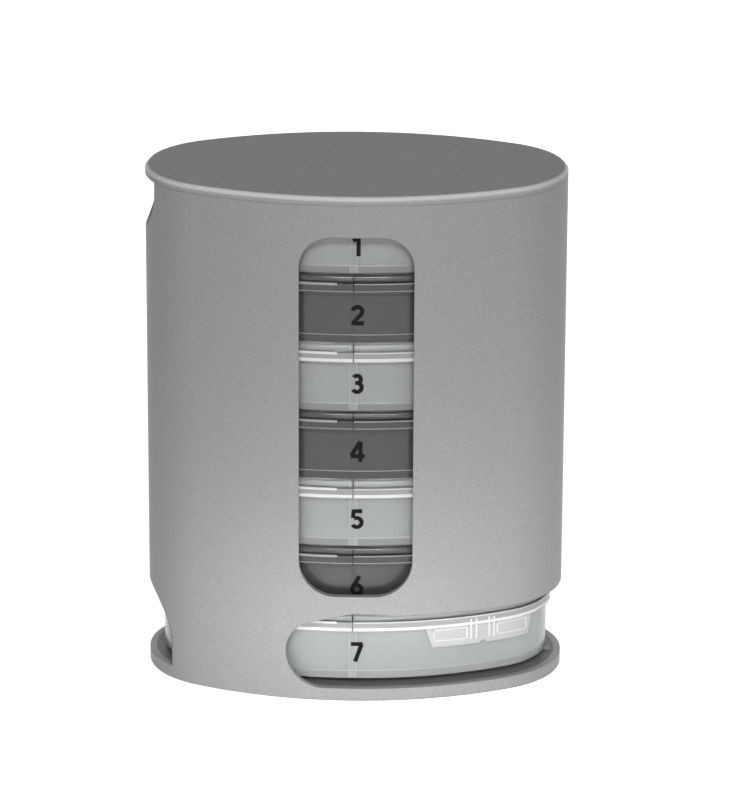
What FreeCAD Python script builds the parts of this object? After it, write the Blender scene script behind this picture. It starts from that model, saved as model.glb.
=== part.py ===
# Weekly pill tower: an oval housing that holds seven stacked day trays.
# Each tray has four compartments under four lids. The lowest tray slides out
# to the right over the base plate, and the others drop one place.
# Frame: origin at the centre of the footprint, +Z up, front at -Y, exit at +X.
import FreeCAD
import Part
import math
import os
import Sketcher

DAYS = ["sun", "mon", "tue", "wed", "thu", "fri", "sat"]

doc = FreeCAD.newDocument("pill_tower")

# Driving sizes in millimetres. An inset is measured inwards from the tower's
# outline; a tray level is measured up from that tray's own underside.
SIZES = {
    # outline and housing
    "half_length": 51.0,
    "half_depth": 29.5,
    "end_radius": 22.5,
    "wall": 1.8,
    "stack_gap": 0.4,
    "foot_flange_width": 2.2,
    "foot_flange_height": 1.2,
    "window_left": 13.0,
    "window_right": 14.4,
    "window_foot": 5.3,
    "window_drop": 7.8,
    "window_top_radius": 7.8,
    "window_bottom_radius": 8.8,
    "exit_gap": 0.2,
    "exit_reach": 16.2,
    "exit_lower_radius": 9.2,
    "exit_upper_radius": 8.0,
    "exit_shoulder_drop": 3.3,
    "scoop_start_x": -0.5,
    "scoop_rise": 0.7,
    "scoop_fall_x": 7.0,
    "scoop_fall_rise": 0.45,
    "scoop_end_x": 10.2,
    "scoop_start_radius": 14.0,
    "scoop_end_radius": 6.0,
    "push_arch_half_width": 15.6,
    "push_arch_drop": 0.3,
    "push_arch_radius": 12.0,
    "grip_notch_half_width": 10.9,
    "grip_notch_depth": 13.3,
    "grip_notch_radius": 10.6,
    # base plate
    "fit_gap": 0.05,
    "base_thickness": 1.9,
    "runner_end": 13.0,
    "runner_middle": 11.0,
    "runner_width": 3.0,
    "runner_height": 1.4,
    "detent_end": 3.4,
    "detent_width": 2.0,
    "detent_length": 4.0,
    "detent_gap": 0.5,
    # cap
    "cap_thickness": 2.2,
    "cap_edge": 0.8,
    "plug_gap": 0.25,
    "plug_crown_gap": 0.25,
    "plug_rim_gap": 1.0,
    # trays
    "body_height": 12.4,
    "tray_wall": 1.3,
    "tray_floor": 1.3,
    "divider": 1.4,
    "spine": 3.4,
    "spine_gap": 0.2,
    # straight-sided outlines: an end corner's angle, and two corners on the
    # side as shares of the way out to where the arcs meet
    "facet_end_angle": 15.5,
    "facet_side": 0.63,
    "facet_front": 0.20,
    # lids
    "lid_run": 0.8,
    "lid_rim": 2.5,
    "lid_crown": 2.3,
    "shoulder": 1.0,
    "lid_gap": 0.3,
    "lid_parting": 0.12,
    "tab_thickness": 1.0,
    "tab_gap": 0.1,
    "tab_left": 17.8,
    "tab_end": 7.5,
    "tab_slant": 1.5,
    "tab_length": 4.7,
    "tab_notch_in": 11.8,
    "tab_notch_half_width": 1.0,
    "tab_notch_height": 0.8,
}

# Sizes that follow from the driving ones, so that the pieces stay together.
FOLLOWING = {
    "reach": "half_length - end_radius",
    "side_radius": "(reach ^ 2 + half_depth ^ 2 - end_radius ^ 2) / (2 * (half_depth - end_radius))",
    "side_drop": "side_radius - half_depth",
    "lid_inset": "wall + lid_run",
    "body_inset": "lid_inset + tab_thickness + tab_gap",
    "lid_shoulder": "body_height + lid_rim",
    "tray_pitch": "lid_shoulder + lid_crown",
    "spine_top": "tray_pitch - spine_gap",
    "tab_bottom": "body_height - tab_length",
    "tab_right": "half_length - tab_end",
    "tab_notch_x": "tab_right - tab_notch_in",
    "exit_sill": "foot_flange_height + base_thickness",
    "seat_height": "exit_sill + runner_height",
    "runner_half_length": "half_length - runner_end",
    "detent_x": "half_length - detent_end",
    "detent_height": "runner_height - detent_gap",
    "housing_height": "seat_height + %d * tray_pitch + stack_gap" % len(DAYS),
    "exit_top": "seat_height + tray_pitch + exit_gap",
    "exit_shoulder": "exit_top - exit_shoulder_drop",
    "scoop_peak": "exit_top + scoop_rise",
    "scoop_fall": "exit_top + scoop_fall_rise",
    "push_arch_top": "exit_top - push_arch_drop",
    "window_bottom": "seat_height + tray_pitch + window_foot",
    "window_top": "housing_height - window_drop",
    "grip_notch_bottom": "housing_height - grip_notch_depth",
    "plug_hollow_inset": "lid_inset + shoulder - plug_crown_gap",
    "plug_depth": "lid_crown + stack_gap - plug_rim_gap",
}

sheet = doc.addObject("Spreadsheet::Sheet", "Sizes")
for row, (name, size) in enumerate([*SIZES.items(), *FOLLOWING.items()], 1):
    sheet.set("A%d" % row, name)
    sheet.set("B%d" % row, "=%s" % size)
    sheet.setAlias("B%d" % row, name)
doc.recompute()


def value(expression):
    """Present value of an expression in the sheet's names."""
    return float(sheet.evalExpression(expression))


def new_sketch(body, name, plane, height="0"):
    """Sketch on one of the body's origin planes, lifted along its normal."""
    sketch = body.newObject("Sketcher::SketchObject", name)
    origin_plane = [f for f in body.Origin.OriginFeatures if f.Role == plane][0]
    sketch.AttachmentSupport = [(origin_plane, "")]
    sketch.MapMode = "FlatFace"
    sketch.setExpression("AttachmentOffset.Base.z", height)
    return sketch


def drive(sketch, kind, *where, size):
    """Dimension in a sketch, bound to the sheet."""
    index = sketch.addConstraint(Sketcher.Constraint(kind, *where, value(size)))
    sketch.setExpression("Constraints[%d]" % index, size)


def relate(sketch, kind, *where):
    """Geometric constraint with no size."""
    sketch.addConstraint(Sketcher.Constraint(kind, *where))


def oval(sketch, inset):
    """Four-arc oval parallel to the tower's outline, inset from it."""
    reach = value("Sizes.reach")
    end = value("Sizes.end_radius - (%s)" % inset)
    side = value("Sizes.side_radius - (%s)" % inset)
    drop = math.sqrt((side - end) ** 2 - reach ** 2)
    swing = math.atan2(drop, reach)
    arcs = [
        (reach, 0, end, -swing, swing),
        (0, -drop, side, swing, math.pi - swing),
        (-reach, 0, end, math.pi - swing, math.pi + swing),
        (0, drop, side, math.pi + swing, 2 * math.pi - swing),
    ]
    right = sketch.GeometryCount
    for x, y, radius, start, stop in arcs:
        circle = Part.Circle(FreeCAD.Vector(x, y, 0), FreeCAD.Vector(0, 0, 1), radius)
        sketch.addGeometry(Part.ArcOfCircle(circle, start, stop))
    back, left, front = right + 1, right + 2, right + 3
    relate(sketch, "Tangent", right, 2, back, 1)
    relate(sketch, "Coincident", back, 2, left, 1)
    relate(sketch, "Coincident", left, 2, front, 1)
    relate(sketch, "Tangent", front, 2, right, 1)
    relate(sketch, "Symmetric", right, 2, left, 1, -2)
    relate(sketch, "Symmetric", right, 1, left, 2, -2)
    relate(sketch, "PointOnObject", right, 3, -1)
    relate(sketch, "Equal", right, left)
    relate(sketch, "Equal", back, front)
    drive(sketch, "Radius", right, size="Sizes.end_radius - (%s)" % inset)
    drive(sketch, "Radius", back, size="Sizes.side_radius - (%s)" % inset)
    drive(sketch, "DistanceX", -1, 1, right, 3, size="Sizes.reach")


def outline(sketch, corners):
    """Closed outline through corners (x, y, radius), each entry an expression.

    Every corner point is placed from the sketch's origin. A corner with a radius
    is rounded by an arc tangent to its sides; such outlines run counter-clockwise.
    """
    count = len(corners)
    points = [FreeCAD.Vector(value(x), value(y), 0) for x, y, radius in corners]
    starts = list(points)
    ends = list(points)
    arcs = {}
    for i, (x, y, radius) in enumerate(corners):
        if radius is None:
            continue
        size = value(radius)
        back = (points[i - 1] - points[i]).normalize()
        ahead = (points[(i + 1) % count] - points[i]).normalize()
        half_angle = back.getAngle(ahead) / 2
        ends[i] = points[i] + back * (size / math.tan(half_angle))
        starts[i] = points[i] + ahead * (size / math.tan(half_angle))
        centre = points[i] + (back + ahead).normalize() * (size / math.sin(half_angle))
        circle = Part.Circle(centre, FreeCAD.Vector(0, 0, 1), size)
        convex = back.cross(ahead).z < 0
        first, last = (ends[i], starts[i]) if convex else (starts[i], ends[i])
        turn = [math.atan2(p.y - centre.y, p.x - centre.x) for p in (first, last)]
        if turn[1] < turn[0]:
            turn[1] += 2 * math.pi
        arcs[i] = (sketch.addGeometry(Part.ArcOfCircle(circle, *turn)), convex)
    lines = []
    for i in range(count):
        line = Part.LineSegment(starts[i], ends[(i + 1) % count])
        lines.append(sketch.addGeometry(line))
    for i, (x, y, radius) in enumerate(corners):
        before = lines[i - 1]
        after = lines[i]
        if radius is None:
            relate(sketch, "Coincident", before, 2, after, 1)
            corner = (after, 1)
        else:
            arc, convex = arcs[i]
            relate(sketch, "Tangent", before, 2, arc, 1 if convex else 2)
            relate(sketch, "Tangent", after, 1, arc, 2 if convex else 1)
            drive(sketch, "Radius", arc, size=radius)
            corner = (sketch.addGeometry(Part.Point(points[i]), True), 1)
            relate(sketch, "PointOnObject", *corner, before)
            relate(sketch, "PointOnObject", *corner, after)
        drive(sketch, "DistanceX", -1, 1, *corner, size=x)
        drive(sketch, "DistanceY", -1, 1, *corner, size=y)


def pad(body, name, sketch, length, down=False):
    """Pad a sketch along its plane's normal, or against it."""
    feature = body.newObject("PartDesign::Pad", name)
    feature.Profile = sketch
    feature.setExpression("Length", length)
    feature.Reversed = down
    sketch.Visibility = False
    return feature


def pocket(body, name, sketch, length, along_normal=False, both_ways=False):
    """Cut a sketch's area out, against its plane's normal unless told."""
    feature = body.newObject("PartDesign::Pocket", name)
    feature.Profile = sketch
    feature.setExpression("Length", length)
    feature.Reversed = along_normal
    feature.Midplane = both_ways
    sketch.Visibility = False
    return feature


def oval_sketch(body, name, inset, height):
    """Horizontal oval at a height, inset from the tower's outline."""
    sketch = new_sketch(body, name, "XY_Plane", height)
    oval(sketch, inset)
    return sketch


def outline_sketch(body, name, plane, corners, height="0"):
    """Closed cornered outline on one of the origin planes."""
    sketch = new_sketch(body, name, plane, height)
    outline(sketch, corners)
    return sketch


def facets(inset):
    """Sixteen corners on the inset oval, for an outline with straight sides."""
    end = "(Sizes.end_radius - %s)" % inset
    side = "(Sizes.side_radius - %s)" % inset
    meet_x = "Sizes.reach * %s / (Sizes.side_radius - Sizes.end_radius)" % side
    meet_y = "Sizes.side_drop * %s / (Sizes.side_radius - Sizes.end_radius)" % end
    quarter = [
        ("(Sizes.reach + %s * cos(Sizes.facet_end_angle))" % end,
         "(%s * sin(Sizes.facet_end_angle))" % end),
        ("(%s)" % meet_x, "(%s)" % meet_y),
    ]
    for share in ("Sizes.facet_side", "Sizes.facet_front"):
        x = "(%s * %s)" % (share, meet_x)
        quarter.append((x, "(sqrt(%s ^ 2 - %s ^ 2) - Sizes.side_drop)" % (side, x)))
    corners = [(x, y, None) for x, y in quarter]
    corners += [("-" + x, y, None) for x, y in reversed(quarter)]
    corners += [("-" + x, "-" + y, None) for x, y in quarter]
    corners += [(x, "-" + y, None) for x, y in reversed(quarter)]
    return corners


def tower_housing():
    """Oval tube with a front window, an exit slot, a push arch and a notch."""
    body = doc.addObject("PartDesign::Body", "tower_housing")
    full = "2 * Sizes.half_length"

    outer = oval_sketch(body, "HousingOutline", "0", "0")
    pad(body, "HousingBlock", outer, "Sizes.housing_height")
    bore = oval_sketch(body, "HousingBore", "Sizes.wall", "Sizes.foot_flange_height")
    pocket(body, "HousingHollow", bore, "Sizes.housing_height", along_normal=True)
    foot = outline_sketch(body, "HousingFoot", "XY_Plane",
                          facets("(Sizes.wall + Sizes.foot_flange_width)"))
    pocket(body, "HousingFootOpening", foot, "Sizes.housing_height", along_normal=True)

    left = "-Sizes.window_left"
    right = "Sizes.window_right"
    window = outline_sketch(body, "Window", "XZ_Plane", [
        (left, "Sizes.window_bottom", "Sizes.window_bottom_radius"),
        (right, "Sizes.window_bottom", "Sizes.window_bottom_radius"),
        (right, "Sizes.window_top", "Sizes.window_top_radius"),
        (left, "Sizes.window_top", "Sizes.window_top_radius"),
    ])
    pocket(body, "WindowCut", window, full, along_normal=True)

    beyond = "1.2 * Sizes.half_length"
    exit_slot = outline_sketch(body, "ExitSlot", "XZ_Plane", [
        ("-Sizes.exit_reach", "Sizes.exit_sill", "Sizes.exit_lower_radius"),
        (beyond, "Sizes.exit_sill", None),
        (beyond, "Sizes.exit_top", None),
        ("Sizes.scoop_end_x", "Sizes.exit_top", "Sizes.scoop_end_radius"),
        ("Sizes.scoop_fall_x", "Sizes.scoop_fall", "Sizes.scoop_end_radius"),
        ("Sizes.scoop_start_x", "Sizes.scoop_peak", "Sizes.scoop_start_radius"),
        ("-Sizes.exit_reach", "Sizes.exit_shoulder", "Sizes.exit_upper_radius"),
    ])
    pocket(body, "ExitCut", exit_slot, full, both_ways=True)

    near = "-Sizes.push_arch_half_width"
    far = "Sizes.push_arch_half_width"
    arch = outline_sketch(body, "PushArch", "YZ_Plane", [
        (near, "Sizes.exit_sill", None),
        (far, "Sizes.exit_sill", None),
        (far, "Sizes.push_arch_top", "Sizes.push_arch_radius"),
        (near, "Sizes.push_arch_top", "Sizes.push_arch_radius"),
    ])
    pocket(body, "PushArchCut", arch, full)

    near = "-Sizes.grip_notch_half_width"
    far = "Sizes.grip_notch_half_width"
    above = "1.1 * Sizes.housing_height"
    notch = outline_sketch(body, "GripNotch", "YZ_Plane", [
        (near, "Sizes.grip_notch_bottom", "Sizes.grip_notch_radius"),
        (far, "Sizes.grip_notch_bottom", "Sizes.grip_notch_radius"),
        (far, above, None),
        (near, above, None),
    ])
    pocket(body, "GripNotchCut", notch, full)
    return body


def base_plate():
    """Floor on the housing's foot flange, with two runners for the lowest tray."""
    body = doc.addObject("PartDesign::Body", "base_plate")
    bottom = "Sizes.foot_flange_height"
    top = "(Sizes.foot_flange_height + Sizes.base_thickness)"

    plate = oval_sketch(body, "PlateOutline", "Sizes.wall + Sizes.fit_gap", bottom)
    pad(body, "Plate", plate, "Sizes.base_thickness")
    inner = "(Sizes.runner_middle - Sizes.runner_width / 2)"
    outer = "(Sizes.runner_middle + Sizes.runner_width / 2)"
    for name, near, far in (("FrontRunner", "-" + outer, "-" + inner),
                            ("BackRunner", inner, outer)):
        runner = outline_sketch(body, name + "Outline", "XY_Plane", [
            ("-Sizes.runner_half_length", near, None),
            ("Sizes.runner_half_length", near, None),
            ("Sizes.runner_half_length", far, None),
            ("-Sizes.runner_half_length", far, None),
        ], bottom)
        pad(body, name, runner, "Sizes.seat_height - Sizes.foot_flange_height")
    low = "(Sizes.detent_x - Sizes.detent_width / 2)"
    high = "(Sizes.detent_x + Sizes.detent_width / 2)"
    detent = outline_sketch(body, "DetentOutline", "XY_Plane", [
        (low, "-Sizes.detent_length / 2", None),
        (high, "-Sizes.detent_length / 2", None),
        (high, "Sizes.detent_length / 2", None),
        (low, "Sizes.detent_length / 2", None),
    ], top)
    bump = pad(body, "Detent", detent, "Sizes.detent_height")
    bump.TaperAngle = -25
    return body


def edges_at(shape, height):
    """Names of the shape's edges that lie flat at a height."""
    names = []
    for number, edge in enumerate(shape.Edges, 1):
        box = edge.BoundBox
        if abs(box.ZMin - height) < 1e-4 and abs(box.ZMax - height) < 1e-4:
            names.append("Edge%d" % number)
    return names


def cap():
    """Flat cap with a rounded rim and a plug that fits inside the wall."""
    body = doc.addObject("PartDesign::Body", "cap")
    outer = oval_sketch(body, "CapOutline", "0", "Sizes.housing_height")
    plate = pad(body, "CapPlate", outer, "Sizes.cap_thickness")
    doc.recompute()
    rim = body.newObject("PartDesign::Chamfer", "CapRim")
    top = value("Sizes.housing_height + Sizes.cap_thickness")
    rim.Base = (plate, edges_at(plate.Shape, top))
    rim.setExpression("Size", "Sizes.cap_edge")
    plug = oval_sketch(body, "PlugOutline", "Sizes.wall + Sizes.plug_gap",
                       "Sizes.housing_height")
    pad(body, "Plug", plug, "Sizes.plug_depth", down=True)
    hollow = outline_sketch(body, "PlugHollowOutline", "XY_Plane",
                            facets("Sizes.plug_hollow_inset"),
                            "Sizes.housing_height")
    pocket(body, "PlugHollow", hollow, "Sizes.plug_depth")
    return body


def place(body, level):
    """Lift a piece of a tray to its place in the stack."""
    height = "Sizes.seat_height + %d * Sizes.tray_pitch" % level
    body.setExpression("Placement.Base.z", height)


def tray(day, level):
    """Oval tray parted into four compartments by a hinge spine and a divider."""
    body = doc.addObject("PartDesign::Body", day + "_tray")
    shell = oval_sketch(body, day + "BodyOutline", "Sizes.body_inset", "0")
    pad(body, day + "Body", shell, "Sizes.body_height")
    hollow = outline_sketch(body, day + "HollowOutline", "XY_Plane",
                            facets("(Sizes.body_inset + Sizes.tray_wall)"), "Sizes.tray_floor")
    pocket(body, day + "Hollow", hollow, "Sizes.body_height", along_normal=True)

    inside = "(Sizes.body_inset + Sizes.tray_wall / 2)"
    spans = {
        "Spine": ("(Sizes.half_length - %s)" % inside, "(Sizes.spine / 2)",
                  "Sizes.spine_top"),
        "Divider": ("(Sizes.divider / 2)", "(Sizes.half_depth - %s)" % inside,
                    "Sizes.body_height"),
    }
    for name, (x, y, top) in spans.items():
        wall = outline_sketch(body, day + name + "Outline", "XY_Plane", [
            ("-" + x, "-" + y, None),
            (x, "-" + y, None),
            (x, y, None),
            ("-" + x, y, None),
        ], "Sizes.tray_floor / 2")
        pad(body, day + name, wall, top + " - Sizes.tray_floor / 2")
    place(body, level)
    return body


def lid(day, level, row, side):
    """One quarter lid: a raised crown, a rim and a thumb tab that hangs down.

    Every lid is drawn on the front row. A back lid is the front lid of the
    other side turned half round.
    """
    name = "%s_lid_%s_%s" % (day, row, side)
    body = doc.addObject("PartDesign::Body", name)
    rim = oval_sketch(body, name + "RimOutline", "Sizes.lid_inset", "Sizes.tab_bottom")
    pad(body, name + "Rim", rim, "Sizes.lid_shoulder - Sizes.tab_bottom")
    crown = outline_sketch(body, name + "CrownOutline", "XY_Plane",
                           facets("(Sizes.lid_inset + Sizes.shoulder)"), "Sizes.body_height")
    pad(body, name + "Crown", crown, "Sizes.tray_pitch - Sizes.body_height")
    inside = oval_sketch(body, name + "InsideOutline", "Sizes.lid_inset + Sizes.tab_thickness",
                         "Sizes.tab_bottom")
    pocket(body, name + "Inside", inside, "Sizes.body_height - Sizes.tab_bottom",
           along_normal=True)

    # Keep one quarter: the L-shaped rest is cut away.
    drawn_left = (side == "left") != (row == "back")
    near, away = ("-", "") if drawn_left else ("", "-")
    far = "(1.2 * Sizes.half_length)"
    gap_x = "(Sizes.lid_parting / 2)"
    gap_y = "(Sizes.spine / 2 + Sizes.lid_gap)"
    rest = outline_sketch(body, name + "RestOutline", "XY_Plane", [
        (near + gap_x, "-" + gap_y, None),
        (near + gap_x, "-" + far, None),
        (away + far, "-" + far, None),
        (away + far, far, None),
        (near + far, far, None),
        (near + far, "-" + gap_y, None),
    ])
    pocket(body, name + "Quarter", rest, "Sizes.tray_pitch + 1", along_normal=True)

    # Cut the rim's skirt away on both sides of the tab, and notch its edge.
    beside = {
        "Inner": ("0", "Sizes.tab_left", "Sizes.tab_left + Sizes.tab_slant"),
        "Outer": (far, "Sizes.tab_right", "Sizes.tab_right - Sizes.tab_slant / 2"),
    }
    for cut_name, (end, at_top, at_bottom) in beside.items():
        cut = outline_sketch(body, name + cut_name + "Outline", "XZ_Plane", [
            (near + "(%s)" % end, "Sizes.tab_bottom - 1", None),
            (near + "(%s)" % at_bottom, "Sizes.tab_bottom - 1", None),
            (near + "(%s)" % at_bottom, "Sizes.tab_bottom", None),
            (near + "(%s)" % at_top, "Sizes.body_height", None),
            (near + "(%s)" % end, "Sizes.body_height", None),
        ])
        pocket(body, name + cut_name, cut, "2 * Sizes.half_length", both_ways=True)
    notch = outline_sketch(body, name + "NotchOutline", "XZ_Plane", [
        (near + "(Sizes.tab_notch_x - Sizes.tab_notch_half_width)", "Sizes.tab_bottom", None),
        (near + "(Sizes.tab_notch_x + Sizes.tab_notch_half_width)", "Sizes.tab_bottom", None),
        (near + "Sizes.tab_notch_x", "Sizes.tab_bottom + Sizes.tab_notch_height", None),
    ])
    pocket(body, name + "Notch", notch, "2 * Sizes.half_length", both_ways=True)
    if row == "back":
        body.Placement = FreeCAD.Placement(FreeCAD.Vector(), FreeCAD.Rotation(180, 0, 0))
    place(body, level)
    return body


def build():
    """Every sub-part, in the order they are stacked."""
    pieces = [tower_housing(), base_plate(), cap()]
    for level, day in enumerate(reversed(DAYS)):
        pieces.append(tray(day, level))
        for row in ("front", "back"):
            for side in ("left", "right"):
                pieces.append(lid(day, level, row, side))
    return pieces


def export(pieces):
    """Check the whole document, then write each piece as one STEP file."""
    for item in doc.Objects:
        if "Invalid" in item.State or "Error" in item.State:
            raise RuntimeError("%s failed: %s" % (item.Name, item.State))
    for piece in pieces:
        if piece.Shape.isNull() or not piece.Shape.isValid() or len(piece.Shape.Solids) != 1:
            raise RuntimeError("%s has no single valid solid" % piece.Label)
    os.makedirs("parts", exist_ok=True)
    for piece in pieces:
        piece.Shape.exportStep(os.path.join("parts", piece.Label + ".step"))


pieces = build()
doc.recompute()
export(pieces)
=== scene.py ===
import math

import bmesh
import bpy
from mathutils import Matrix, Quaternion, Vector


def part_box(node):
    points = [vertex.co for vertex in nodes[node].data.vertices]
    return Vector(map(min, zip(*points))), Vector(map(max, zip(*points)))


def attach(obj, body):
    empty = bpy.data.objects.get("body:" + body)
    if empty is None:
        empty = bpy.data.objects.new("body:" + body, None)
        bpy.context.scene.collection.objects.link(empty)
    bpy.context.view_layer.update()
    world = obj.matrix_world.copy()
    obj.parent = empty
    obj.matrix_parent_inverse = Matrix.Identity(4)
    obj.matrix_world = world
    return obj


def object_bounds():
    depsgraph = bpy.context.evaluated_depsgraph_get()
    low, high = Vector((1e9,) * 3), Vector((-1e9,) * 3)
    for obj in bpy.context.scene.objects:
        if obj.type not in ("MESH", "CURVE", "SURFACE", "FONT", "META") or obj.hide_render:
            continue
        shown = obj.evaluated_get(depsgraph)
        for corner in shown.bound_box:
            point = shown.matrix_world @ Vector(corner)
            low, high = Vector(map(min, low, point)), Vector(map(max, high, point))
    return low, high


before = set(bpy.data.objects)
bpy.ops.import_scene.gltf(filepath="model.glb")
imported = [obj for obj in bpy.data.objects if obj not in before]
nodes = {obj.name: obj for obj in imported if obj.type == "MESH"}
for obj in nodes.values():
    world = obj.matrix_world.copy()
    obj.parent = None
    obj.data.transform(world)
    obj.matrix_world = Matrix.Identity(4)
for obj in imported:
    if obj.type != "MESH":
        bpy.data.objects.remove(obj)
cad_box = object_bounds()
scene = bpy.context.scene

# Camera: a long lens a little over a metre away, looking down on the tower by
# about nineteen degrees, as a small product is usually shown.
camera = bpy.data.objects.new("camera", bpy.data.cameras.new("camera"))
scene.collection.objects.link(camera)
scene.camera = camera
camera.data.sensor_width = 36.0
camera.data.lens = 214.1
camera.data.clip_start = 0.05
camera.data.clip_end = 20.0
camera.location = (0.025445, -1.103378, 0.440181)
camera.rotation_mode = "QUATERNION"
looking = Vector((-0.019512, 0.947204, -0.320037)).to_track_quat("-Z", "Y")
camera.rotation_quaternion = looking @ Quaternion((0, 0, 1), math.radians(0.24))


# Floor and light: a plain table of painted board, rolled to a faint mottle, under
# soft studio light. One broad softbox is in front and one behind, a strip above
# catches the upper edges, and a low fill and a small card lift the foot.
FLOOR_HALF = 4.0
FLOOR_WHITE = 0.84
MOTTLE_MM = 111.1
LAMPS_AIM_AT = Vector((0, 0, 0.04))
LAMPS_REFLECTED = ("softbox_front", "strip_above")


def linear(code):
    """sRGB hex colour as linear RGBA."""
    channels = [int(code[i : i + 2], 16) / 255 for i in (1, 3, 5)]
    lit = [c / 12.92 if c <= 0.04045 else ((c + 0.055) / 1.055) ** 2.4 for c in channels]
    return (*lit, 1.0)


def add(tree, kind, links=(), **settings):
    """Shader node with its settings and links. A setting named for an input
    socket, with _ for a space, sets that input; any other sets the node."""
    node = tree.nodes.new(kind)
    for name, setting in settings.items():
        socket = node.inputs.get(name.replace("_", " "))
        if socket is None:
            setattr(node, name, setting)
        else:
            socket.default_value = setting
    for source, target in links:
        tree.links.new(source, node.inputs[target])
    return node


def new_material(name):
    """Material of this name, and its emptied node tree."""
    material = bpy.data.materials.new(name)
    material.use_nodes = True
    material.node_tree.nodes.clear()
    return material, material.node_tree


def ray_seen(tree):
    """One on a ray from the camera or off a glossy or clear surface, else zero."""
    ray = add(tree, "ShaderNodeLightPath")
    seen = ray.outputs["Is Camera Ray"]
    for kind in ("Is Glossy Ray", "Is Transmission Ray"):
        either = [(seen, 0), (ray.outputs[kind], 1)]
        seen = add(tree, "ShaderNodeMath", either, operation="MAXIMUM").outputs[0]
    return seen


painted_board, tree = new_material("painted_board_rolled")
place = add(tree, "ShaderNodeTexCoord")
mottle = add(
    tree, "ShaderNodeTexNoise", [(place.outputs["Object"], "Vector")],
    Scale=1000 / MOTTLE_MM, Detail=2.0,
)
shade = add(tree, "ShaderNodeValToRGB", [(mottle.outputs["Fac"], "Fac")])
shade.color_ramp.elements[0].color = linear("#e9e9e9")
shade.color_ramp.elements[1].color = linear("#f0f0f0")
board = add(tree, "ShaderNodeBsdfDiffuse", [(shade.outputs["Color"], "Color")])
lift = add(tree, "ShaderNodeMath", [(ray_seen(tree), 0)], operation="MULTIPLY")
lift.inputs[1].default_value = FLOOR_WHITE
glow = add(tree, "ShaderNodeEmission", [(lift.outputs[0], "Strength")])
both = add(tree, "ShaderNodeAddShader", [(board.outputs[0], 0), (glow.outputs[0], 1)])
add(tree, "ShaderNodeOutputMaterial", [(both.outputs[0], "Surface")])

mesh = bpy.data.meshes.new("floor")
corners = [(x * FLOOR_HALF, y * FLOOR_HALF, 0) for x, y in ((-1, -1), (1, -1), (1, 1), (-1, 1))]
mesh.from_pydata(corners, [], [(0, 1, 2, 3)])
floor = bpy.data.objects.new("floor", mesh)
floor.location.z = -0.0001
mesh.materials.append(painted_board)
scene.collection.objects.link(floor)

world = bpy.data.worlds.new("studio")
scene.world = world
world.use_nodes = True
tree = world.node_tree
tree.nodes.clear()
room = add(tree, "ShaderNodeBackground", Color=linear("#ffffff"), Strength=0.02)
white = add(tree, "ShaderNodeBackground", Color=linear("#ffffff"), Strength=1.0)
sky = add(
    tree, "ShaderNodeMixShader",
    [(ray_seen(tree), 0), (room.outputs[0], 1), (white.outputs[0], 2)],
)
add(tree, "ShaderNodeOutputWorld", [(sky.outputs[0], "Surface")])

for name, place_m, width, height, power in [
    ("softbox_front", (0.04, -1.30, 0.16), 0.5, 0.4, 2.35),
    ("strip_above", (0.02, -0.85, 0.72), 0.45, 0.09, 5.3),
    ("softbox_back", (0.10, 1.30, 0.35), 0.7, 0.5, 8.0),
    ("card_right", (0.16, -0.06, 0.015), 0.08, 0.03, 0.03),
    ("fill_low", (0.0, -0.078, 0.009), 0.15, 0.012, 0.036),
]:
    lamp = bpy.data.lights.new(name, "AREA")
    lamp.shape = "RECTANGLE"
    lamp.size = width
    lamp.size_y = height
    lamp.energy = power
    holder = bpy.data.objects.new(name, lamp)
    holder.location = place_m
    toward = LAMPS_AIM_AT - Vector(place_m)
    holder.rotation_mode = "QUATERNION"
    holder.rotation_quaternion = toward.to_track_quat("-Z", "Y")
    holder.visible_camera = False
    holder.visible_glossy = name in LAMPS_REFLECTED
    scene.collection.objects.link(holder)


# Housing and cap: grey ABS, injection moulded in a tool with a fine spark-eroded
# grain, which gives a satin surface. The cap presses into the housing's top; its colour
# is drawn darker as painted shade on its flat top, and its rim and side carry a painted
# highlight. The real grain, about 0.05 mm, is too fine to show and is drawn coarser.
RIM_GLOSSIER = 0.14


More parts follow.
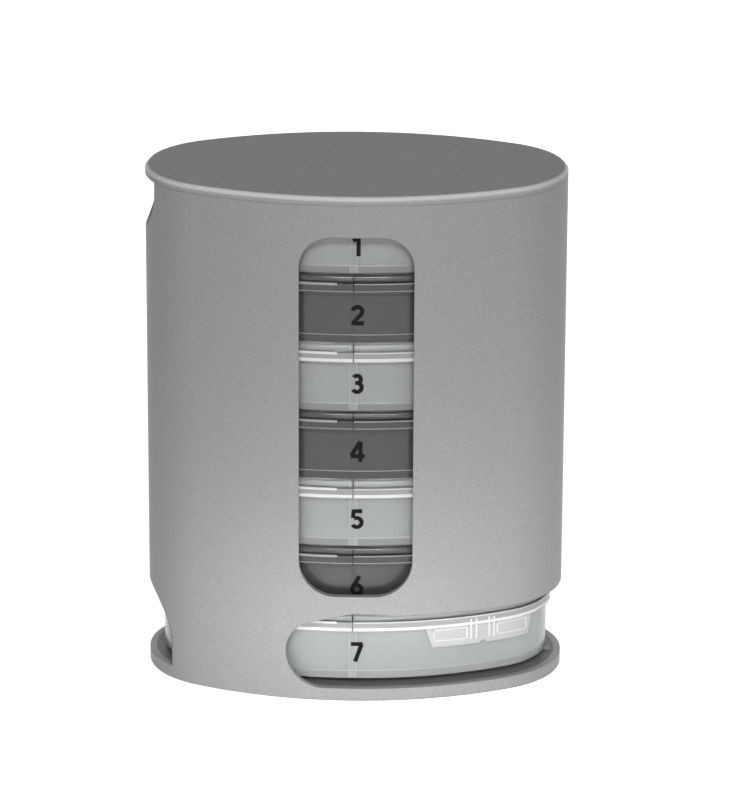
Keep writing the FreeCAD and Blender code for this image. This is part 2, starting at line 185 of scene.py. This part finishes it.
def moulded_abs(name, dark, pale, roughness, grain_mm, bump, radius_mm, sheen=0.5, rim_highlight=None):
    """Opaque moulded plastic: a fine eroded grain, and edges with a small radius.
    With rim_highlight, a colour, the rounded upper edge is painted pale and made glossier
    as a painted highlight, and the upright side a little; the flat top keeps its grain."""
    material, tree = new_material(name)
    place = add(tree, "ShaderNodeTexCoord")
    grain = add(
        tree, "ShaderNodeTexNoise", [(place.outputs["Object"], "Vector")],
        Scale=1000 / grain_mm, Detail=3.0, Roughness=0.6,
    )
    shade = add(tree, "ShaderNodeValToRGB", [(grain.outputs["Fac"], "Fac")])
    shade.color_ramp.elements[0].position = 0.3
    shade.color_ramp.elements[0].color = linear(dark)
    shade.color_ramp.elements[1].position = 0.7
    shade.color_ramp.elements[1].color = linear(pale)
    edge = add(tree, "ShaderNodeBevel", samples=6, Radius=radius_mm / 1000)
    relief = add(
        tree, "ShaderNodeBump", [(grain.outputs["Fac"], "Height"), (edge.outputs[0], "Normal")],
        Strength=bump, Distance=0.00003,
    )
    gloss = add(
        tree, "ShaderNodeMapRange", [(grain.outputs["Fac"], "Value")],
        To_Min=roughness - 0.05, To_Max=roughness + 0.05,
    )
    body = add(
        tree, "ShaderNodeBsdfPrincipled",
        [
            (shade.outputs["Color"], "Base Color"),
            (gloss.outputs["Result"], "Roughness"),
            (relief.outputs["Normal"], "Normal"),
        ],
        IOR=1.53, Specular_IOR_Level=sheen,
    )
    if rim_highlight:
        # Painted highlight: the mask is full on the rounded upper edge, a little on the upright
        # side, and nothing on the flat top, which keeps the darker colour as painted shade.
        slope = add(tree, "ShaderNodeSeparateXYZ", [(edge.outputs[0], "Vector")])
        rim_highlight_mask = add(tree, "ShaderNodeValToRGB", [(slope.outputs["Z"], "Fac")])
        stops = rim_highlight_mask.color_ramp.elements
        stops[0].position, stops[0].color = 0.0, linear("#959595")
        stops[1].position, stops[1].color = 0.95, linear("#000000")
        for position in (0.35, 0.75):
            stops.new(position).color = linear("#ffffff")
        rim_highlight_colour = add(
            tree, "ShaderNodeMix",
            [(rim_highlight_mask.outputs["Color"], 0), (shade.outputs["Color"], 6)],
            data_type="RGBA",
        )
        rim_highlight_colour.inputs[7].default_value = linear(rim_highlight)
        smooth = add(
            tree, "ShaderNodeMath",
            [(rim_highlight_mask.outputs["Color"], 0), (gloss.outputs["Result"], 2)],
            operation="MULTIPLY_ADD",
        )
        smooth.inputs[1].default_value = -RIM_GLOSSIER
        tree.links.new(rim_highlight_colour.outputs[2], body.inputs["Base Color"])
        tree.links.new(smooth.outputs[0], body.inputs["Roughness"])
    add(tree, "ShaderNodeOutputMaterial", [(body.outputs[0], "Surface")])
    return material


abs_grey = moulded_abs(
    "abs_grey_moulded_satin", "#909091", "#a5a5a6",
    roughness=0.48, grain_mm=0.35, bump=0.35, radius_mm=0.5,
)
# The cap's colour is the housing's grey drawn darker, as painted shade on its flat top; its rim
# carries a painted highlight.
abs_cap = moulded_abs(
    "abs_grey_grained_painted_shade_and_highlight", "#6c6c6d", "#8c8c8d",
    roughness=0.44, grain_mm=0.40, bump=0.2, radius_mm=0.9, sheen=0.18, rim_highlight="#e6e6e7",
)
nodes["tower_housing"].material_slots[0].material = abs_grey
nodes["cap"].material_slots[0].material = abs_cap

# Base plate: the same ABS, moulded separately and pressed onto the housing's
# foot flange. Its colour is drawn a shade darker than the housing's, as painted shade
# for its dim floor inside the housing, and it is a little smoother.
abs_base = moulded_abs(
    "abs_grey_moulded_painted_shade", "#6a6a6b", "#808081",
    roughness=0.42, grain_mm=0.35, bump=0.25, radius_mm=0.3, sheen=0.2,
)
nodes["base_plate"].material_slots[0].material = abs_base


# Trays and lids: polypropylene, injection moulded thin so that it passes light, with
# a faint flow haze. Four trays are natural and frosted, and three are tinted smoke
# grey.
HAZE_MM = 5.556

# Shares of a piece's own height or width: where a lid's tab ends, and how far the
# cross wall reaches from the tray's middle.
TAB_TOP = 0.47
TAB_BLEND = 0.50
TAB_CLEAR = 0.3
CROSS_WALL = 0.008
CROSS_WALL_BLEND = 0.012
CROSS_WALL_CLEAR = 0.1


def milkier(tree, body, along, near, far, thick, plain):
    """Where the coordinate is under near the plastic is as in thick, and from far
    on as in plain. Each of those is a tint and how clear the plastic is."""
    above = add(
        tree, "ShaderNodeMapRange", [(along, "Value")],
        From_Min=near, From_Max=far, To_Min=thick[1], To_Max=plain[1],
    )
    milk = add(tree, "ShaderNodeValToRGB", [(along, "Fac")])
    for stop, position, tint in zip(milk.color_ramp.elements, (near, far), (thick[0], plain[0])):
        stop.position = position
        stop.color = linear(tint)
    tree.links.new(above.outputs["Result"], body.inputs["Transmission Weight"])
    tree.links.new(milk.outputs["Color"], body.inputs["Base Color"])


def polypropylene(name, tint, roughness, clear, radius_mm, tab_tint=None, wall_tint=None):
    """Thin translucent moulding: part clear, part milky. With tab_tint the lower
    half of a lid, which is its thick thumb tab, is milkier than the rest. With
    wall_tint so is the tray's middle, where the cross wall is seen end on."""
    material, tree = new_material(name)
    place = add(tree, "ShaderNodeTexCoord")
    haze = add(
        tree, "ShaderNodeTexNoise", [(place.outputs["Object"], "Vector")],
        Scale=1000 / HAZE_MM, Detail=3.0,
    )
    edge = add(tree, "ShaderNodeBevel", samples=6, Radius=radius_mm / 1000)
    ripple = add(
        tree, "ShaderNodeBump", [(haze.outputs["Fac"], "Height"), (edge.outputs[0], "Normal")],
        Strength=0.12, Distance=0.0001,
    )
    gloss = add(
        tree, "ShaderNodeMapRange", [(haze.outputs["Fac"], "Value")],
        To_Min=roughness - 0.04, To_Max=roughness + 0.04,
    )
    body = add(
        tree, "ShaderNodeBsdfPrincipled",
        [(gloss.outputs["Result"], "Roughness"), (ripple.outputs["Normal"], "Normal")],
        Base_Color=linear(tint), IOR=1.49, Transmission_Weight=clear,
    )
    if tab_tint or wall_tint:
        split = add(tree, "ShaderNodeSeparateXYZ", [(place.outputs["Generated"], "Vector")])
    if tab_tint:
        thick = (tab_tint, TAB_CLEAR)
        milkier(tree, body, split.outputs["Z"], TAB_TOP, TAB_BLEND, thick, (tint, clear))
    if wall_tint:
        side = add(tree, "ShaderNodeMath", [(split.outputs["X"], 0)], operation="SUBTRACT")
        side.inputs[1].default_value = 0.5
        reach = add(tree, "ShaderNodeMath", [(side.outputs[0], 0)], operation="ABSOLUTE")
        thick = (wall_tint, CROSS_WALL_CLEAR)
        plain = (tint, clear)
        milkier(tree, body, reach.outputs[0], CROSS_WALL, CROSS_WALL_BLEND, thick, plain)
    add(tree, "ShaderNodeOutputMaterial", [(body.outputs[0], "Surface")])
    return material


natural_pp = polypropylene(
    "polypropylene_natural_frosted", "#e4e7e8",
    roughness=0.20, clear=0.68, radius_mm=0.4, wall_tint="#a3a6a7",
)
# The lids' plastic is drawn paler and milkier than the trays', as painted light where the lids
# sit in the housing's shade.
natural_lid_pp = polypropylene(
    "polypropylene_natural_lid", "#eceeef",
    roughness=0.16, clear=0.6, radius_mm=0.15, tab_tint="#d8dada",
)
# Pale plastic for the tabs' ribs and frames, thick and milky with some painted highlight, and
# for the beads, where it is a painted highlight.
natural_rib_and_highlight_pp = polypropylene(
    "polypropylene_natural_thick_and_painted_highlight", "#f3f4f4", roughness=0.20, clear=0.15, radius_mm=0.1
)
smoke_rib_and_highlight_pp = polypropylene(
    "polypropylene_smoke_rib_and_painted_highlight", "#b9b9ba", roughness=0.16, clear=0.3, radius_mm=0.1
)
smoke_pp = polypropylene(
    "polypropylene_smoke_moulded", "#7c7b7b", roughness=0.14, clear=0.66, radius_mm=0.2
)
DAYS = ("sun", "mon", "tue", "wed", "thu", "fri", "sat")
SMOKE_DAYS = ("mon", "wed", "fri")
for name, node in nodes.items():
    day = name.split("_")[0]
    if day in DAYS:
        natural = natural_lid_pp if "_lid_" in name else natural_pp
        node.material_slots[0].material = smoke_pp if day in SMOKE_DAYS else natural

# Relief on the trays, moulded in one with them: each thumb tab has two framed finger
# recesses with ribs between them, fine beads run round the tray's foot and the lids'
# lower and upper edges, and a cove fills the corner on the lids' shoulder. The lids'
# beads, and the smoke trays' foot bead, are drawn in pale plastic as painted highlights.
HALF_LENGTH = cad_box[1].x
HALF_DEPTH = cad_box[1].y

# The housing's oval has four arcs, with their centres on its two axes. Trays and lids
# follow it at an inset, and the angle is where an end arc meets a side arc.
END_RADIUS = 0.0225
SIDE_RADIUS = 0.084
END_CENTRE = HALF_LENGTH - END_RADIUS
SIDE_CENTRE = SIDE_RADIUS - HALF_DEPTH
ARCS_MEET = math.atan2(SIDE_CENTRE, END_CENTRE)
LID_INSET = 0.0026
BODY_INSET = 0.0037

# Frames and ribs on a tab: heights above the tray's underside, and places in x.
FRAMES = ((0.0196, 0.0280), (0.0350, 0.0424))
FRAME_FOOT, FRAME_HEAD = 0.0092, 0.0124
RIBS = (0.0286, 0.0299, 0.0330, 0.0342)
RIB_FOOT, RIB_HEAD = 0.0090, 0.0142
BAR_WIDE = 0.0004
BAR_PROUD = 0.0002
BAR_STEP = 0.001

# Beads and cove: height above the tray's underside, inset, and how far each stands
# out. Turns are angles seen from above, from +X.
FOOT_BEAD = (0.0019, BODY_INSET, 0.00003)
LOWER_BEAD = (0.0130, LID_INSET, 0.00012)
UPPER_BEAD = (0.0148, LID_INSET, 0.00018)
COVE = (0.0158, LID_INSET + 0.0011, 0.0007)
COVE_HALF_HEIGHT = 0.00105
BEAD_ROOT = 0.0001
BEAD_BOWS = 6
ROUND_STEPS = 180
ALL_ROUND = (-math.pi, math.pi)
SPINE_TURN = 0.09
PARTING_TURN = 0.004
# Where the left lids' painted highlight on the upper bead stops short of the parting.
LEFT_HIGHLIGHT_GAP_TURN = 0.08

# Material slots of a relief, the first the pale plastic of the tab ribs and of the
# beads' painted highlights, and the area in square metres under which one of its
# faces is shaded smooth.
RIB_AND_HIGHLIGHT, BODY = range(2)
SMALL_FACE = 1e-6


def on_front(x, inset):
    """Depth of the oval's front at x, for a surface inset from the outline."""
    meet = END_CENTRE + (END_RADIUS - inset) * math.cos(ARCS_MEET)
    if abs(x) < meet:
        return SIDE_CENTRE - math.sqrt((SIDE_RADIUS - inset) ** 2 - x * x)
    return -math.sqrt(max(0.0, (END_RADIUS - inset) ** 2 - (abs(x) - END_CENTRE) ** 2))


def bar(shape, left, right, low, high, mirror):
    """Low slab on a lid's tab, following its curve. mirror turns x and y over."""
    columns = []
    count = max(1, round((right - left) / BAR_STEP))
    for i in range(count + 1):
        x = left + (right - left) * i / count
        skin = on_front(x, LID_INSET - BAR_PROUD)
        root = on_front(x, LID_INSET + BAR_PROUD)
        corners = [(skin, low), (skin, high), (root, high), (root, low)]
        columns.append([shape.verts.new((x * mirror[0], y * mirror[1], z)) for y, z in corners])
    faces = [shape.faces.new(columns[0]), shape.faces.new(columns[-1])]
    for a, b in zip(columns, columns[1:]):
        for i in range(4):
            faces.append(shape.faces.new((a[i], a[(i + 1) % 4], b[(i + 1) % 4], b[i])))
    for face in faces:
        face.material_index = RIB_AND_HIGHLIGHT


def bead(shape, level, kind, half_height, slot, part=ALL_ROUND):
    """Half-round bead of one kind along the oval, between two turns."""
    height, inset, proud = kind
    whole = part == ALL_ROUND
    count = round(ROUND_STEPS * (part[1] - part[0]) / (2 * math.pi))
    rings = []
    for i in range(count if whole else count + 1):
        turn = part[0] + (part[1] - part[0]) * i / count
        x = (END_CENTRE + END_RADIUS - inset) * math.cos(turn)
        y = on_front(x, inset) * (1 if math.sin(turn) < 0 else -1)
        out = Vector((x, y)).normalized()
        ring = []
        for step in range(BEAD_BOWS + 1):
            bow = math.pi * step / BEAD_BOWS
            z = level + height - half_height * math.cos(bow)
            bulge = -BEAD_ROOT + (proud + BEAD_ROOT) * math.sin(bow)
            ring.append(shape.verts.new((x + out.x * bulge, y + out.y * bulge, z)))
        rings.append(ring)
    for a, b in zip(rings, rings[1:] + (rings[:1] if whole else [])):
        for i in range(BEAD_BOWS):
            shape.faces.new((a[i], a[i + 1], b[i + 1], b[i])).material_index = slot


def along_lid(quarter, gap):
    """Turns along one lid's edge: clear of the spine's end, and gap off its neighbour."""
    start = quarter * math.pi / 2
    stop = (quarter + 1) * math.pi / 2
    if quarter % 2:
        return start + gap, stop - SPINE_TURN
    return start + SPINE_TURN, stop - gap


for day in DAYS:
    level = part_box(day + "_tray")[0].z
    smoke = day in SMOKE_DAYS
    shape = bmesh.new()
    # On the smoke trays the foot bead takes the pale slot, as a painted highlight.
    half_height, slot = (0.00013, RIB_AND_HIGHLIGHT) if smoke else (0.0002, BODY)
    bead(shape, level, FOOT_BEAD, half_height, slot)
    for quarter in range(4):
        # The upper beads are painted highlights: thick and stopping short of the parting on the
        # left lids, thin on the right ones, as a reflection falls.
        on_left = quarter in (1, 2)
        half_height = 0.00034 if on_left else 0.00017
        run = along_lid(quarter, LEFT_HIGHLIGHT_GAP_TURN if on_left else PARTING_TURN)
        bead(shape, level, UPPER_BEAD, half_height, RIB_AND_HIGHLIGHT, run)
        # The lower beads are painted highlights too, broad on the natural trays and faint on the
        # smoke ones.
        half_height = 0.00013 if smoke else 0.00045
        run = along_lid(quarter, PARTING_TURN)
        bead(shape, level, LOWER_BEAD, half_height, RIB_AND_HIGHLIGHT, run)
        if day != "sun":
            bead(shape, level, COVE, COVE_HALF_HEIGHT, BODY, run)
    for mirror in ((1, 1), (-1, 1), (1, -1), (-1, -1)):
        for left, right in FRAMES:
            head, foot = level + FRAME_HEAD, level + FRAME_FOOT
            bar(shape, left, right, head - BAR_WIDE, head, mirror)
            bar(shape, left, right, foot, foot + BAR_WIDE, mirror)
            bar(shape, left, left + BAR_WIDE, foot + BAR_WIDE, head - BAR_WIDE, mirror)
            bar(shape, right - BAR_WIDE, right, foot + BAR_WIDE, head - BAR_WIDE, mirror)
        for left in RIBS:
            bar(shape, left, left + BAR_WIDE, level + RIB_FOOT, level + RIB_HEAD, mirror)
    bmesh.ops.recalc_face_normals(shape, faces=shape.faces)
    mesh = bpy.data.meshes.new(day + "_relief")
    shape.to_mesh(mesh)
    shape.free()
    for face in mesh.polygons:
        face.use_smooth = face.area < SMALL_FACE
    mesh.materials.append(smoke_rib_and_highlight_pp if smoke else natural_rib_and_highlight_pp)
    mesh.materials.append(smoke_pp if smoke else natural_pp)
    relief = bpy.data.objects.new(day + "_relief", mesh)
    scene.collection.objects.link(relief)
    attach(relief, day + "_tray")

# Numbers: one plain bold figure pad-printed in black on the front of each tray,
# counted from the top. The ink is matt, faintly speckled and lies on the curved wall.
NUMBER_HEIGHT = 0.0051
STROKE = 0.00102
INK_THICK = 0.00004
NUMBER_FOOT = 0.0043
NUMBER_ACROSS = 0.0010
BEND_STEPS = 18
SPECK_MM = 0.1667


def bend(x, y, radius, start, stop):
    """Points along an arc, with angles in degrees."""
    step = (stop - start) / BEND_STEPS
    turns = [math.radians(start + step * i) for i in range(BEND_STEPS + 1)]
    return [(x + radius * math.cos(t), y + radius * math.sin(t)) for t in turns]


# Each figure's strokes run along their middle line, in figure heights.
LOW = 0.5 * STROKE / NUMBER_HEIGHT
HIGH = 1 - LOW
FIGURE_MIDDLE = 0.34
FIGURES = {
    1: [[(0.10, 0.74), (0.36, HIGH)], [(0.36, 1.0), (0.36, 0.0)]],
    2: [bend(0.32, 0.68, HIGH - 0.68, 170, -38) + [(0.10, LOW)], [(0.04, LOW), (0.62, LOW)]],
    3: [
        bend(0.31, 0.72, HIGH - 0.72, 150, -90),
        bend(0.31, 0.32, 0.32 - LOW, 90, -150),
        [(0.22, 0.54), (0.34, 0.54)],
    ],
    4: [[(0.46, 1.0), (0.05, 0.30)], [(0.02, 0.28), (0.68, 0.28)], [(0.48, 1.0), (0.48, 0.0)]],
    5: [
        [(0.58, HIGH), (0.18, HIGH)],
        [(0.18, 0.98), (0.14, 0.55)],
        bend(0.32, 0.33, 0.33 - LOW, 125, -150),
    ],
    6: [bend(0.34, 0.32, 0.32 - LOW, 0, 360), [(0.12, 0.43), (0.46, 0.98)]],
    7: [[(0.06, HIGH), (0.62, HIGH)], [(0.58, HIGH), (0.26, 0.0)]],
}


def figure_mesh(name, strokes, foot):
    """Ribbons along the strokes, laid on the tray's front wall."""
    shape = bmesh.new()
    for line in strokes:
        edges = []
        for i, (x, y) in enumerate(line):
            ahead = line[min(i + 1, len(line) - 1)]
            behind = line[max(i - 1, 0)]
            run = Vector((ahead[0] - behind[0], ahead[1] - behind[1])).normalized()
            side = Vector((-run.y, run.x)) * LOW
            edges.append([(x + side.x, y + side.y), (x - side.x, y - side.y)])
        rows = []
        for pair in edges:
            row = []
            for x, y in pair:
                across = (x - FIGURE_MIDDLE) * NUMBER_HEIGHT + NUMBER_ACROSS
                skin = on_front(across, BODY_INSET) - INK_THICK
                row.append(shape.verts.new((across, skin, foot + y * NUMBER_HEIGHT)))
            rows.append(row)
        for a, b in zip(rows, rows[1:]):
            shape.faces.new((a[0], a[1], b[1], b[0]))
    mesh = bpy.data.meshes.new(name)
    bmesh.ops.recalc_face_normals(shape, faces=shape.faces)
    shape.to_mesh(mesh)
    shape.free()
    return mesh


ink, tree = new_material("pad_print_ink_black")
place = add(tree, "ShaderNodeTexCoord")
speck = add(
    tree, "ShaderNodeTexNoise", [(place.outputs["Object"], "Vector")],
    Scale=1000 / SPECK_MM, Detail=2.0,
)
shade = add(tree, "ShaderNodeValToRGB", [(speck.outputs["Fac"], "Fac")])
shade.color_ramp.elements[0].color = linear("#050506")
shade.color_ramp.elements[1].color = linear("#0d0d0f")
film = add(
    tree, "ShaderNodeBsdfPrincipled", [(shade.outputs["Color"], "Base Color")],
    Roughness=0.6, Specular_IOR_Level=0.15,
)
add(tree, "ShaderNodeOutputMaterial", [(film.outputs[0], "Surface")])

for count, day in enumerate(DAYS, 1):
    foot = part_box(day + "_tray")[0].z + NUMBER_FOOT
    name = "printed_number_%d" % count
    number = bpy.data.objects.new(name, figure_mesh(name, FIGURES[count], foot))
    number.data.materials.append(ink)
    scene.collection.objects.link(number)
    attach(number, day + "_tray")

scene.view_settings.view_transform = "Standard"
